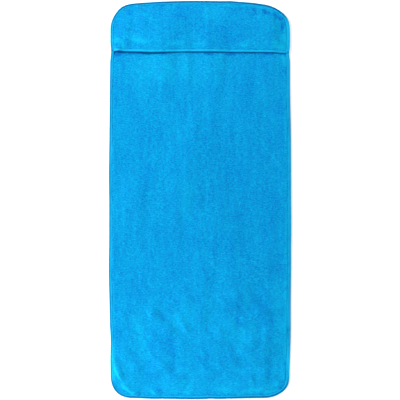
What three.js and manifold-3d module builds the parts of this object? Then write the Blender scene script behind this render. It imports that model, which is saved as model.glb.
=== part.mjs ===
// A terry towel with a head pocket, the kind that slips over the back of a sun lounger or garden chair.
// It lies flat, face up: +Z is up, +Y runs towards the head pocket, and the origin is at the middle of its
// underside. Units are millimetres. The towelling is held at its rim by a folded tape, and each row of
// stitching is a thread of its own on either face.
import * as THREE from "three";
import { mergeVertices } from "three/addons/utils/BufferGeometryUtils.js";
import Module from "manifold-3d";

const wasm = await Module();
wasm.setup();

// ---- Driving dimensions ----
const LENGTH = 1300;
const END_WIDTH = 584; // across the sides where the corners begin
const SIDE_BOW = 6; // each long side bows out by this much at its middle
const HEAD_CROWN = 8; // the head edge is this much higher at its middle
const FOOT_CROWN = 3;
const HEAD_RADIUS = 88;
const FOOT_RADIUS = 72;

const PILE_HEIGHT = 4.5; // towelling with the loops of both faces
const GRIPPED = 1.6; // towelling squeezed flat inside the tape
const TAPE = 0.7; // thickness of the binding tape
const TAPE_REACH = 10; // how far the edge tape covers each face
const SLACK = 0.2; // clearance between layers
const SOFT_STEP = 2.5; // from the tape's inner edge to where the full pile begins
const THREAD = 0.35;
const SEAM_INSET = 7.2; // the edge seam's distance from the outer edge

const POCKET_DEPTH = 168; // from the head edge to the pocket's mouth
const POCKET_RISE = 7; // the pocket's front stands this far off the towel
const RISE_RUN = 50; // and gets there over this distance from its sewn edges
const MOUTH_TAPE_WIDTH = 8;
const MOUTH_STEP = 3; // the edge tape thickens this far below the pocket's mouth

const BARTACK = { length: 7, width: 3, thickness: 0.4, fromEdge: 5.2, aboveMouth: 4 };
const LABEL = { length: 30, width: 20, thickness: 0.3, y: -450 };

// ---- Levels, from the floor up ----
const tapeLow = 0.4;
const mainRimLow = tapeLow + TAPE + SLACK;
const mainRimHigh = mainRimLow + GRIPPED;
const tapeHigh = mainRimHigh + SLACK + TAPE;
const pocketRimLow = mainRimHigh + SLACK;
const pocketRimHigh = pocketRimLow + GRIPPED + 0.5;
const tapeHighAtPocket = pocketRimHigh + SLACK + TAPE;
const pocketLow = PILE_HEIGHT + SLACK;
const pocketHigh = pocketLow + PILE_HEIGHT;
const lipLow = (pocketLow + pocketHigh - GRIPPED) / 2;
const lipHigh = lipLow + GRIPPED;
const mouthTapeLow = lipLow - SLACK - TAPE;
const mouthTapeHigh = lipHigh + SLACK + TAPE;
const seamGap = 0.05; // a thread lies this close to its tape

const clothInset = TAPE + SLACK; // the cut edge, inside the tape's fold
const pileInset = TAPE_REACH + SOFT_STEP;
const mouthY = LENGTH / 2 - POCKET_DEPTH;
const lipBackY = mouthY + MOUTH_TAPE_WIDTH;
const FAR = 700; // beyond the towel in any direction

// ---- The cut of the towel ----
const sideLean = Math.atan((4 * SIDE_BOW) / (LENGTH - HEAD_RADIUS - FOOT_RADIUS));

// Each corner is an arc: its centre, its radius, and the angles at which it begins and ends.
function corner(side, end, radius, crown) {
  const x = END_WIDTH / 2 - radius * Math.cos(sideLean);
  const tilt = Math.atan((2 * crown) / x);
  const rise = ((x + radius * Math.sin(tilt)) * Math.tan(tilt)) / 2;
  const y = LENGTH / 2 - rise - radius * Math.cos(tilt);
  const centre = new THREE.Vector2(side * x, end * y);
  const nearSide = end * sideLean;
  const nearEnd = end * (Math.PI / 2 - tilt);
  const mirror = (angle) => (side > 0 ? angle : Math.PI - angle);
  return { centre, radius, nearSide: mirror(nearSide), nearEnd: mirror(nearEnd) };
}

const footRight = corner(1, -1, FOOT_RADIUS, FOOT_CROWN);
const headRight = corner(1, 1, HEAD_RADIUS, HEAD_CROWN);
const headLeft = corner(-1, 1, HEAD_RADIUS, HEAD_CROWN);
const footLeft = corner(-1, -1, FOOT_RADIUS, FOOT_CROWN);

function onArc({ centre, radius }, angle, inset) {
  return new THREE.Vector2(Math.cos(angle), Math.sin(angle)).multiplyScalar(radius - inset).add(centre);
}

// Where the tangents at two points on arcs meet, which is the handle of the shallow curve between them.
function handle(p, pAngle, q, qAngle) {
  const along = new THREE.Vector2(-Math.sin(pAngle), Math.cos(pAngle));
  const normal = new THREE.Vector2(Math.cos(qAngle), Math.sin(qAngle));
  const distance = q.clone().sub(p).dot(normal) / along.dot(normal);
  return along.multiplyScalar(distance).add(p);
}

// The outline, drawn counter-clockwise and moved in by inset on every side.
function outline(inset = 0) {
  const turns = [
    [footRight, footRight.nearEnd, footRight.nearSide],
    [headRight, headRight.nearSide, headRight.nearEnd],
    [headLeft, headLeft.nearEnd, headLeft.nearSide],
    [footLeft, footLeft.nearSide, footLeft.nearEnd],
  ];
  const shape = new THREE.Shape();
  const start = onArc(footRight, footRight.nearEnd, inset);
  shape.moveTo(start.x, start.y);
  turns.forEach(([arc, from, to], i) => {
    shape.absarc(arc.centre.x, arc.centre.y, arc.radius - inset, from, to, false);
    const [next, nextFrom] = turns[(i + 1) % turns.length];
    const here = onArc(arc, to, inset);
    const there = onArc(next, nextFrom, inset);
    const pull = handle(here, to, there, nextFrom);
    shape.quadraticCurveTo(pull.x, pull.y, there.x, there.y);
  });
  return shape;
}

// Half the towel's width at a height y between its corners.
function halfWidth(y) {
  const top = onArc(headRight, headRight.nearSide, 0);
  const bottom = onArc(footRight, footRight.nearSide, 0);
  const t = (y - bottom.y) / (top.y - bottom.y);
  return END_WIDTH / 2 + 4 * SIDE_BOW * t * (1 - t);
}

// ---- Solids ----
function solid(geometry) {
  const bare = geometry.clone();
  bare.deleteAttribute("normal");
  bare.deleteAttribute("uv");
  const merged = mergeVertices(bare, 1e-3);
  return new wasm.Manifold(
    new wasm.Mesh({
      numProp: 3,
      vertProperties: new Float32Array(merged.attributes.position.array),
      triVerts: new Uint32Array(merged.index.array),
    }),
  );
}

// A flat plate with the towel's outline, moved in by inset.
function plate(inset, low, high) {
  const options = { depth: high - low, bevelEnabled: false, curveSegments: 12 };
  return solid(new THREE.ExtrudeGeometry(outline(inset), options).translate(0, 0, low));
}

// A flat band that follows the outline between two insets.
function band(outer, inner, low, high) {
  return plate(outer, low, high).subtract(plate(inner, low - 1, high + 1));
}

function block(xLow, xHigh, yLow, yHigh, low, high) {
  const box = new THREE.BoxGeometry(xHigh - xLow, yHigh - yLow, high - low);
  return solid(box.translate((xLow + xHigh) / 2, (yLow + yHigh) / 2, (low + high) / 2));
}

// Everything above a line across the towel.
function headwardOf(y) {
  return block(-FAR, FAR, y, FAR, -FAR, FAR);
}

// How far the pocket's front is lifted at a point, rising smoothly from its sewn edges.
function lift(x, y) {
  const fromSide = (END_WIDTH / 2 - pileInset - Math.abs(x)) / RISE_RUN;
  const fromHead = (LENGTH / 2 - pileInset - y) / RISE_RUN;
  return POCKET_RISE * THREE.MathUtils.smoothstep(fromSide, 0, 1) * THREE.MathUtils.smoothstep(fromHead, 0, 1);
}

// A block across the pocket that follows its lift, cut to the towel's outline.
function lifted(yLow, yHigh, low, high, inset) {
  const across = 40;
  const along = Math.max(1, Math.round((yHigh - yLow) / 15));
  const box = new THREE.BoxGeometry(END_WIDTH, yHigh - yLow, high - low, across, along, 1);
  box.translate(0, (yLow + yHigh) / 2, (low + high) / 2);
  const points = box.attributes.position;
  for (let i = 0; i < points.count; i += 1) {
    points.setZ(i, points.getZ(i) + lift(points.getX(i), points.getY(i)));
  }
  return solid(box).intersect(plate(inset, -FAR, FAR));
}

// ---- Sub-parts ----
function mainPanel() {
  const rim = plate(clothInset, mainRimLow, mainRimHigh);
  const pile = plate(pileInset, 0, PILE_HEIGHT);
  const { left, right, low, high } = labelPlace();
  const pressedIn = block(left - 2, right + 2, low - 2, high + 2, -1, 2 * LABEL.thickness);
  return rim.add(pile).subtract(pressedIn);
}

function pocketPanel() {
  const rim = band(clothInset, pileInset - 0.5, pocketRimLow, pocketRimHigh).intersect(headwardOf(mouthY + clothInset));
  const pile = lifted(lipBackY + SLACK, LENGTH / 2, pocketLow, pocketHigh, pileInset - 2);
  const lip = lifted(mouthY + clothInset, lipBackY + 1, lipLow, lipHigh, pileInset);
  return pile.add(rim).add(lip);
}

function edgeTape() {
  const thickerFrom = mouthY - MOUTH_STEP;
  const outside = plate(0, tapeLow, tapeHigh).add(
    plate(0, tapeLow, tapeHighAtPocket).intersect(headwardOf(thickerFrom)),
  );
  const slot = plate(TAPE, mainRimLow - SLACK, mainRimHigh + SLACK).add(
    plate(TAPE, mainRimLow - SLACK, pocketRimHigh + SLACK).intersect(headwardOf(thickerFrom + TAPE)),
  );
  return outside.subtract(plate(TAPE_REACH, -FAR, FAR)).subtract(slot);
}

function mouthTape() {
  const outside = lifted(mouthY, lipBackY, mouthTapeLow, mouthTapeHigh, TAPE_REACH + 2 * SLACK);
  const slot = lifted(mouthY + TAPE, lipBackY + 1, lipLow - SLACK, lipHigh + SLACK, 0);
  return outside.subtract(slot);
}

// The thread that shows on the face steps up with the tape where the pocket begins.
function edgeSeamFace() {
  const step = mouthY - MOUTH_STEP;
  const inner = SEAM_INSET + THREAD;
  const low = tapeHigh + seamGap;
  const high = tapeHighAtPocket + seamGap;
  const riser = block(-FAR, FAR, step - seamGap - THREAD, step - seamGap, -FAR, FAR);
  const onTowel = band(SEAM_INSET, inner, low, low + THREAD).subtract(headwardOf(step - seamGap));
  const onRiser = band(SEAM_INSET, inner, low, high + THREAD).intersect(riser);
  const onPocket = band(SEAM_INSET, inner, high, high + THREAD).intersect(headwardOf(step - seamGap - THREAD));
  return onTowel.add(onRiser).add(onPocket);
}

function edgeSeamBack() {
  return band(SEAM_INSET, SEAM_INSET + THREAD, tapeLow - seamGap - 0.3, tapeLow - seamGap);
}

function mouthSeam(low) {
  const y = mouthY + MOUTH_TAPE_WIDTH - 2.5;
  return lifted(y, y + THREAD, low, low + THREAD, pileInset);
}

function bartack(side) {
  const middle = side * (halfWidth(mouthY) - BARTACK.fromEdge);
  const y = mouthY + BARTACK.aboveMouth;
  const low = tapeHighAtPocket + THREAD + 2 * seamGap;
  const [halfLength, half] = [BARTACK.length / 2, BARTACK.width / 2];
  return block(middle - halfLength, middle + halfLength, y - half, y + half, low, low + BARTACK.thickness);
}

function labelPlace() {
  const left = SLACK + TAPE_REACH - halfWidth(LABEL.y);
  const half = LABEL.width / 2;
  return { left, right: left + LABEL.length, low: LABEL.y - half, high: LABEL.y + half };
}

function careLabel() {
  const { left, right, low, high } = labelPlace();
  return block(left, right, low, high, 0.1, 0.1 + LABEL.thickness);
}

// ---- Assembly ----
const terry = new THREE.MeshStandardMaterial({ color: 0x0ca2e8, roughness: 0.95, metalness: 0 });
const tape = new THREE.MeshStandardMaterial({ color: 0x10a6ec, roughness: 0.75, metalness: 0 });
const thread = new THREE.MeshStandardMaterial({ color: 0x0a90d4, roughness: 0.6, metalness: 0 });
const satin = new THREE.MeshStandardMaterial({ color: 0xf0f0ec, roughness: 0.5, metalness: 0 });

function piece(name, shape, material) {
  const { vertProperties, triVerts } = shape.getMesh();
  const geometry = new THREE.BufferGeometry();
  geometry.setAttribute("position", new THREE.BufferAttribute(vertProperties, 3));
  geometry.setIndex(new THREE.BufferAttribute(triVerts, 1));
  geometry.computeVertexNormals();
  const mesh = new THREE.Mesh(geometry, material);
  mesh.name = name;
  return mesh;
}

const towel = new THREE.Group();
towel.add(
  piece("main_panel", mainPanel(), terry),
  piece("pocket_panel", pocketPanel(), terry),
  piece("edge_tape", edgeTape(), tape),
  piece("mouth_tape", mouthTape(), tape),
  piece("edge_seam_face_thread", edgeSeamFace(), thread),
  piece("edge_seam_back_thread", edgeSeamBack(), thread),
  piece("mouth_seam_face_thread", mouthSeam(mouthTapeHigh + seamGap), thread),
  piece("mouth_seam_inner_thread", mouthSeam(mouthTapeLow - seamGap - THREAD), thread),
  piece("bartack_left", bartack(-1), thread),
  piece("bartack_right", bartack(1), thread),
  piece("care_label", careLabel(), satin),
);

export default towel;
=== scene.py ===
import math

import bpy
import numpy as np
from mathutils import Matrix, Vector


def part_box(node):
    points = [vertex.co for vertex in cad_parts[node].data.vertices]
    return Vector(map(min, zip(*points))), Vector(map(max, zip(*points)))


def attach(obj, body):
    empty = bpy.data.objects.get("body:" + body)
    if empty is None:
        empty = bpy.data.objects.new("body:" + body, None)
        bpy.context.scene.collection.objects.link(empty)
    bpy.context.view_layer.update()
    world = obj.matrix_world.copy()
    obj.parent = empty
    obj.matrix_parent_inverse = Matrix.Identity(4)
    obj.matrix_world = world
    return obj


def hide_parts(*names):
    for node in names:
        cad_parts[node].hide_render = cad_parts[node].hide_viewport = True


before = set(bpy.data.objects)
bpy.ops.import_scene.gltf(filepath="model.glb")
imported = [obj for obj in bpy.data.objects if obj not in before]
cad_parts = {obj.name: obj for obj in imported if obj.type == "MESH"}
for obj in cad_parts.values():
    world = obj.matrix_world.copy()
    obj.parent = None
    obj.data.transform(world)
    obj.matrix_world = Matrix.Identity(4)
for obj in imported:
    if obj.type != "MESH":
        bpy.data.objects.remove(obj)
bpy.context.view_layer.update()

MM = 0.001


def box_mm(node):
    """The lowest and highest corners of a CAD node, in millimetres."""
    return [np.array(corner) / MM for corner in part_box(node)]


# ---- Sizes that the frame gives ----
(left_edge, foot_edge, tape_low), (right_edge, head_edge, _) = box_mm("edge_tape")
(_, mouth_y, _), (_, mouth_tape_top, _) = box_mm("mouth_tape")
pile_height = box_mm("main_panel")[1][2]
(label_left, label_low, label_bottom), (label_right, label_high, _) = box_mm("care_label")
LENGTH = head_edge - foot_edge
WIDTH = right_edge - left_edge
MOUTH_TAPE_WIDTH = mouth_tape_top - mouth_y

# ---- The cut, as the CAD has it ----
SIDE_BOW = 6
END_WIDTH = WIDTH - 2 * SIDE_BOW
HEAD_RADIUS, FOOT_RADIUS = 88, 72
HEAD_CROWN, FOOT_CROWN = 8, 3
SIDE_LEAN = math.atan(4 * SIDE_BOW / (LENGTH - HEAD_RADIUS - FOOT_RADIUS))

# ---- Layers in the sewn edge ----
TAPE = 0.7  # thickness of the binding tape
TAPE_REACH = 10.2  # how far it covers the face
CUT_EDGE = 1.0  # the towelling's cut edge, inside the tape's fold
GRIPPED = 1.6  # towelling squeezed by the tape
BODY_TAPE_TOP = 3.8  # the tape's face above the towel's underside
POCKET_TAPE_TOP = 6.1
RIM_MIDDLE = 2.1  # middle of the squeezed towelling
POCKET_RIM_MIDDLE = 4.15
POCKET_MIDDLE = pile_height * 1.5 + 0.2
SEAM_INSET, MOUTH_SEAM = 7.3, 5.6  # how far the seams are from the edge and from the mouth
STITCH_PITCH, STITCH_HALF = 3.2, 0.41  # and half of a stitch's length, as a share of the pitch
THREAD_RADIUS = 0.22

# ---- How it lies ----
PINCH = 2.6  # the pocket's mouth draws the sides in
PINCH_REACH = 20
ROOM = 0.3  # the edge lies this far inside the cut's outline
WOBBLE, WOBBLES = 0.55, 48  # how far the edge strays, and how often all round
MOUTH_DROP = 1.6  # the mouth lies this much nearer the foot than it was cut
MOUTH_TILT = 1.2  # its left end is this much nearer the head, and its right end further
MOUTH_SAG, SAG_FROM, SAG_TO = 3.2, 215, 285  # how far it sags towards its right end, and where
MOUTH_TUCK, TUCK_AT, TUCK_REACH = 1.6, -270, 18  # how far it is drawn up at its left end, and where
MOUTH_WAVE, MOUTH_WAVE_LENGTH = 0.7, 42
POCKET_RISE = 2.8
# Places where the edge lies further in or out than it was cut: where, how far in, and over what reach.
PULLS = [
    (236, 625, 5.5, 52), (286, 592, -1.9, 24), (98, 646, -1.4, 22), (-254, 627, -2.6, 24),
    (-267, -626, -3.2, 34), (-292, -462, 2.2, 40), (298, -400, -1.6, 90), (244, -638, 1.9, 24),
    (286, -606, -1.8, 20), (34, -649, 1.4, 16), (-160, -645, -1.5, 40),
]
RISE_FROM, RISE_TO = 11, 101  # the insets between which the pocket's front rises


# ---- Small helpers ----
def ease(low, high, value):
    """A smooth rise from 0 at low to 1 at high."""
    t = np.clip((value - low) / (high - low), 0, 1)
    return t * t * (3 - 2 * t)


def mix(a, b, t):
    return a + (b - a) * t


def bump(value, centre, spread):
    return np.exp(-(((value - centre) / spread) ** 2))


class Noise:
    """A smooth random field of unit spread: seeded values on a wrapping lattice, joined by splines."""

    SPREAD = 0.48

    def __init__(self, seed, columns=128, rows=128):
        self.values = np.random.default_rng(seed).standard_normal((columns, rows))

    @staticmethod
    def weights(f):
        inner = (3 * f**3 - 6 * f**2 + 4) / 6, (-3 * f**3 + 3 * f**2 + 3 * f + 1) / 6
        return (1 - f) ** 3 / 6, *inner, f**3 / 6

    def __call__(self, u, v=0.0):
        u, v = np.broadcast_arrays(np.asarray(u, float), np.asarray(v, float))
        i, j = np.floor(u).astype(int), np.floor(v).astype(int)
        columns, rows = self.values.shape
        total = np.zeros(u.shape)
        for a, along in enumerate(self.weights(u - i)):
            for b, across in enumerate(self.weights(v - j)):
                total += along * across * self.values[(i + a - 1) % columns, (j + b - 1) % rows]
        return total / self.SPREAD

    def lap(self, distance, length, v=0.0):
        """The noise along a closed edge of that length."""
        return self(distance * len(self.values) / length, v)


# ---- The towel's outline ----
def corner(side, end, radius, crown):
    """A corner's arc, anticlockwise: (centre, radius, first angle, last angle)."""
    x = END_WIDTH / 2 - radius * math.cos(SIDE_LEAN)
    tilt = math.atan(2 * crown / x)
    rise = (x + radius * math.sin(tilt)) * math.tan(tilt) / 2
    y = LENGTH / 2 - rise - radius * math.cos(tilt)
    near_side = end * SIDE_LEAN
    near_end = end * (math.pi / 2 - tilt)
    if side < 0:
        near_side, near_end = math.pi - near_side, math.pi - near_end
    angles = (near_side, near_end) if side == end else (near_end, near_side)
    return np.array([side * x, end * y]), radius, *angles


def on_arc(centre, radius, angle):
    return centre + radius * np.stack([np.cos(angle), np.sin(angle)], -1)


def shallow_curve(p, p_angle, q, q_angle, t):
    """The quadratic curve from p to q that meets both arcs smoothly."""
    along = np.array([-math.sin(p_angle), math.cos(p_angle)])
    normal = np.array([math.cos(q_angle), math.sin(q_angle)])
    handle = p + along * np.dot(q - p, normal) / np.dot(along, normal)
    t = t[:, None]
    return (1 - t) ** 2 * p + 2 * t * (1 - t) * handle + t**2 * q


def plain_outline():
    """The cut's outline, anticlockwise from the foot's right corner."""
    head, foot = (1, HEAD_RADIUS, HEAD_CROWN), (-1, FOOT_RADIUS, FOOT_CROWN)
    turns = [corner(1, *foot), corner(1, *head), corner(-1, *head), corner(-1, *foot)]
    t = np.linspace(0, 1, 400, endpoint=False)
    pieces = []
    for turn, following in zip(turns, turns[1:] + turns[:1]):
        centre, radius, start, end = turn
        next_start = following[2]
        pieces.append(on_arc(centre, radius, mix(start, end, t)))
        here, there = on_arc(centre, radius, end), on_arc(*following[:3])
        pieces.append(shallow_curve(here, end, there, next_start, t))
    return np.concatenate(pieces)


class Rim:
    """A closed curve, measured along it."""

    def __init__(self, points):
        closed = np.concatenate([points, points[:1]])
        along = np.concatenate([[0], np.cumsum(np.linalg.norm(np.diff(closed, axis=0), axis=1))])
        self.length = along[-1]
        self.distance = np.arange(0, self.length, 1.0)
        self.points = np.stack([np.interp(self.distance, along, closed[:, k]) for k in (0, 1)], -1)
        tangent = np.roll(self.points, -2, 0) - np.roll(self.points, 2, 0)
        normal = np.stack([tangent[:, 1], -tangent[:, 0]], -1)
        self.normals = normal / np.linalg.norm(normal, axis=1, keepdims=True)

    def at(self, s):
        """(points, outward normals) at distances s."""
        found = []
        for values in (self.points, self.normals):
            pair = [np.interp(s, self.distance, values[:, k], period=self.length) for k in (0, 1)]
            found.append(np.stack(pair, -1))
        return found

    def facing(self, degrees):
        """The distance at which the curve faces that way."""
        angle = math.radians(degrees)
        return self.distance[np.argmax(self.normals @ [math.cos(angle), math.sin(angle)])]

    def offset(self, s, inset):
        points, normals = self.at(s)
        return points - np.asarray(inset)[..., None] * normals


def mouth_line(x):
    """The pocket's open edge: a little tilted, and slightly wavy."""
    straight = mouth_y - MOUTH_DROP - MOUTH_TILT * x / (END_WIDTH / 2)
    sag = MOUTH_SAG * ease(SAG_FROM, SAG_TO, x) - MOUTH_TUCK * bump(x, TUCK_AT, TUCK_REACH)
    return straight - sag + MOUTH_WAVE * mouth_noise(x / MOUTH_WAVE_LENGTH)


mouth_noise = Noise(11)
wobble_noise = Noise(12, columns=WOBBLES, rows=4)
cut = Rim(plain_outline())
on_sides = np.abs(cut.points[:, 1] - mouth_y) < 3 * PINCH_REACH
drawn_in = PINCH * bump(cut.points[:, 1], mouth_line(cut.points[:, 0]), PINCH_REACH) * on_sides
pulled_in = WOBBLE * wobble_noise.lap(cut.distance, cut.length)
for x, y, inwards, reach in PULLS:
    pulled_in += inwards * bump(np.hypot(*(cut.points - [x, y]).T), 0, reach)
rim = Rim(cut.points - (drawn_in + ROOM + pulled_in)[:, None] * cut.normals)


def mouth_end(side):
    """Where along the rim the pocket's mouth meets it, on the left (side -1) or the right (side 1)."""
    gap = np.abs(rim.points[:, 1] - mouth_line(rim.points[:, 0]))
    return rim.distance[np.argmin(np.where(rim.points[:, 0] * side > 0, gap, np.inf))]


# ---- How the towel lies on the floor ----
def corner_radius(y):
    return np.where(y > 0, HEAD_RADIUS, FOOT_RADIUS)


def quarter(y):
    """The edge's length from a side's middle to the middle of the end that y is nearer to."""
    radius = corner_radius(y)
    return LENGTH / 2 - radius + radius * math.pi / 2 + END_WIDTH / 2 - radius


PERIMETER = float(2 * quarter(1) + 2 * quarter(-1))


def rim_coordinates(x, y):
    """(distance along the edge from the right side's middle, distance in from it) of any point, for a plain
    rounded outline. The first is counted upwards by way of the head, and downwards by way of the foot."""
    radius = corner_radius(y)
    t = np.clip(0.5 + y / (LENGTH - HEAD_RADIUS - FOOT_RADIUS), 0, 1)
    half_width = END_WIDTH / 2 + 4 * SIDE_BOW * t * (1 - t)
    crown = np.where(y > 0, HEAD_CROWN, FOOT_CROWN)
    half_length = LENGTH / 2 - crown * np.clip(np.abs(x) / (END_WIDTH / 2 - radius), 0, 1) ** 2
    across = np.abs(x) - (half_width - radius)
    beyond = np.abs(y) - (half_length - radius)
    in_corner = (across > 0) & (beyond > 0)
    inset = radius - np.where(in_corner, np.hypot(across, beyond), np.maximum(across, beyond))
    turn = np.arctan2(np.maximum(beyond, 0), np.maximum(across, 0) + 1e-9)
    straight = LENGTH / 2 - radius
    on_end = straight + radius * math.pi / 2 + (END_WIDTH / 2 - radius - np.abs(x))
    along = np.where(in_corner, straight + radius * turn, np.where(across >= beyond, np.abs(y), on_end))
    along = np.where(x > 0, along, quarter(y) * 2 - along)
    return np.where(y > 0, along, -along), inset


# Waves that the towel lies in: their noise, their height, and their lengths the two ways.
middling, diagonals = Noise(22), Noise(25)
BROAD_WAVES = Noise(21), 1.8, 120, 150
MIDDLING_WAVES = middling, 0.9, 50, 66
MOUTH_FOLDS = Noise(23), 1.5, 24, 210
STREAKS = Noise(24), 0.45, 14, 130
BROAD_DIAGONALS = diagonals, 0.8, 26, 80
FINE_DIAGONALS = diagonals, 1.25, 10, 26
LABEL_WAVES = middling, 0.1, 9, 9
RIPPLES, RIPPLE_GATES, PLEATS = 104, 26, 190  # how many there are along the whole edge
RIPPLE_HEIGHT, CORNER_PLEAT_HEIGHT, PULLED_PLEAT_HEIGHT = 1.5, 1.3, 1.6
ripple_noise = Noise(26, columns=RIPPLES, rows=8)
ripple_gate = Noise(27, columns=RIPPLE_GATES, rows=8)
pleat_noise = Noise(28, columns=PLEATS, rows=8)

# Soft ridges: from x, y to x, y, height and half-width.
RIDGES = [
    (-147, -361, -131, -541, 4.4, 28), (-240, -480, -222, -585, 2.2, 24), (105, -330, 72, -476, 2.6, 36),
    (-130, -531, -59, -600, 2.2, 13), (20, -500, 110, -575, 2, 16), (-205, 40, -190, -160, 1.8, 30),
    (20, 260, 60, -40, 3.2, 80), (-130, 330, -120, 455, 1.7, 22), (-42, 360, -36, 455, 1.8, 12),
    (62, 340, 50, 455, 1.6, 18), (150, 380, 140, 455, 1.5, 14), (215, 330, 200, 440, 1.6, 18),
]

# Creases: from x, y to x, y and height. They are gentle on the left of that way and steep on its right.
CREASES = [
    (-281, -520, -260, -572, 5.2), (-250, -600, -214, -629, 5.2), (-158, -618, -142, -632, 3.4),
    (-172, -470, -158, -520, 1.8), (-66, -390, -42, -430, 2.4), (40, -398, 68, -430, 1.9),
    (-262, -345, -246, -395, 1.9), (-20, -470, 20, -510, 1.7), (110, -455, 140, -500, 1.7),
    (-100, -585, -66, -622, 2.2), (268, -540, 276, -580, 2.4), (206, 186, 262, 106, 2.2),
    (-205, 509, -274, 519, 4.2), (-120, 512, -180, 516, 3), (-20, 514, -75, 511, 2.2),
    (185, 514, 148, 508, 2.2), (272, 507, 225, 516, 3.6),
]
CREASE_GENTLE, CREASE_STEEP = 12, 5

# Puckers that the seam draws up, square to the edge: x, y, height.
PUCKERS = [
    (145, 643, -2), (180, 637, -3.2), (222, 624, -3), (256, 600, -3.6), (277, 566, -3),
    (-200, 640, 1.6), (-250, 612, 1.8), (-280, 575, 1.6), (-295, 200, 1.8), (-296, 168, 1.4),
    (-297, 96, 1.4), (-297, -60, 1.2), (-297, -270, 2), (-296, -300, 1.6), (-294, -350, 1.6),
    (297, 8, 2.8), (297, 60, 1.4), (297, -122, 1.8), (297, -170, 1.6), (296, -208, 2),
    (295, 260, 1.6), (293, 400, 1.6), (292, -420, 1.4), (-205, -643, 2), (-90, -650, 1.4),
    (60, -650, 1.2), (200, -645, 1.6), (262, -615, 1.8), (284, -575, 1.6),
]
PUCKER_FROM, PUCKER_TO, PUCKER_HALF_WIDTH = 15, 26, 8

# Painted highlights and painted shade in the towelling's colour, such as the painted shadow under the
# pocket's mouth and painted shade in puckers: from x, y to x, y, strength (pale above 0, deep below),
# half-width.
PAINTED_LIGHT_MARKS = [
    (207, 617, 213, 608, -1.6, 4.5), (217, 611, 227, 604, -1.4, 4.5), (240, 606, 262, 588, -1.7, 4.5),
    (268, 571, 266, 553, -1.5, 4.5), (176, 624, 178, 608, -1, 6), (150, 630, 152, 612, -0.7, 6),
    (224, 622, 256, 602, 0.6, 5), (-236, 612, -228, 606, -0.6, 5), (-271, 506, -268, 494, -0.9, 4),
    (282, 545, 284, 500, 1.3, 8), (268, 532, 262, 522, 0.6, 7), (240, 514, 268, 500, 1, 8),
    (178, 506, 190, 506, 0.6, 6), (130, 508, 148, 503, 0.9, 6), (-15, 507, 15, 507, 0.8, 6),
    (-100, 508, -60, 506, 0.8, 7), (-215, 520, -170, 510, 1, 8), (-272, 522, -252, 506, 1.1, 8),
    (-240, 535, -200, 526, 0.5, 10), (-180, 420, 60, 430, 0.4, 60), (-104, 445, -104, 395, 0.35, 20),
    (-285, 477, 215, 475, -0.4, 3.5), (-280, 476, -262, 474, -2.4, 5.5), (60, 634, 110, 633, 0.9, 4),
    (125, 632, 190, 629, 0.8, 4), (196, 628, 212, 625, 1.2, 4), (279, 520, 279, 490, 1.4, 7),
    (243, 500, 262, 494, 1.2, 6), (273, 466, 280, 440, 1.3, 7), (207, -627, 253, -620, 1.2, 5),
    (120, -634, 140, -632, 0.9, 4), (-68, -630, -56, -630, -1, 4.5), (-136, -617, -126, -618, -0.8, 5),
    (-242, -611, -236, -609, 1, 5), (279, -291, 280, -285, -1, 5), (282, 0, 282, 6, -1, 5),
    (223, -480, 221, -500, 0.8, 10), (104, -540, 110, -555, 0.7, 8), (54, 395, 54, 378, 0.6, 8),
    (-70, 355, -70, 340, 0.6, 8), (278, -543, 271, -582, 0.9, 4), (60, -616, 100, -621, 0.7, 6),
    (140, -623, 205, -616, 0.8, 7), (-90, -625, -40, -628, 0.6, 6), (225, -610, 250, -600, 0.7, 6),
    (-232, 477, -182, 477, -1, 4), (-134, 476, -112, 475, -1.3, 4), (16, 475, 39, 475, -1.3, 4),
    (86, 476, 114, 475, -1.4, 4), (212, 476, 235, 475, -1.8, 4.5), (261, 473, 285, 472, -0.9, 4),
    (284, 590, 288, 520, 0.8, 7), (-287, -535, -264, -580, 1.5, 4), (-248, -610, -218, -636, 1.5, 4),
    (-160, -622, -143, -636, 1.2, 4), (-262, -480, -235, -600, 0.25, 34), (-205, -385, -180, -510, 0.5, 20),
    (-40, -380, 150, -450, 0.35, 50), (262, -280, 262, -580, 0.5, 28), (235, 590, 262, 550, 0.3, 22),
    (-30, 30, -45, -40, 0.45, 28), (-268, -430, -262, -470, -0.4, 16), (-100, -455, -85, -490, -0.4, 16),
    (-172, -570, -150, -600, -0.3, 18), (118, -350, 130, -400, -0.35, 20), (241, 15, 225, -120, -0.15, 26),
    (-68, 615, -66, 600, -0.3, 16), (30, 612, 60, 600, 0.35, 25), (95, 545, 125, 520, -0.25, 25),
    (-120, -610, 200, -610, 0.3, 35), (206, 184, 262, 106, 0.25, 9), (281, 400, 284, 0, 0.8, 6),
    (284, 0, 281, -520, 0.9, 6),
]
nap_noise = Noise(29)


def nap_and_painted_light(x, y):
    """Random tone where the towelling's loops lean, plus the painted highlights and painted shade of the
    marks.
    """
    lean = 0.07 * nap_noise(x / 30, y / 44)
    # Marks above 0 paint highlights into the colour, marks below 0 paint shade and shadow.
    for *line, strength, half_width in PAINTED_LIGHT_MARKS:
        lean += ridge(x, y, line, strength, half_width)
    return lean


def ridge(x, y, line, height, half_width):
    """A round ridge along a line, which is (x, y, x, y)."""
    from_x, from_y, to_x, to_y = line
    run_x, run_y = to_x - from_x, to_y - from_y
    t = np.clip(((x - from_x) * run_x + (y - from_y) * run_y) / (run_x**2 + run_y**2), 0, 1)
    away = np.hypot(x - from_x - t * run_x, y - from_y - t * run_y)
    return height * bump(away, 0, half_width)


def crease(x, y, line, height):
    from_x, from_y, to_x, to_y = line
    to_the_left = (to_x - from_x) * (y - from_y) > (to_y - from_y) * (x - from_x)
    gentle = ridge(x, y, line, height, CREASE_GENTLE)
    return np.where(to_the_left, gentle, ridge(x, y, line, height, CREASE_STEEP))


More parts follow.
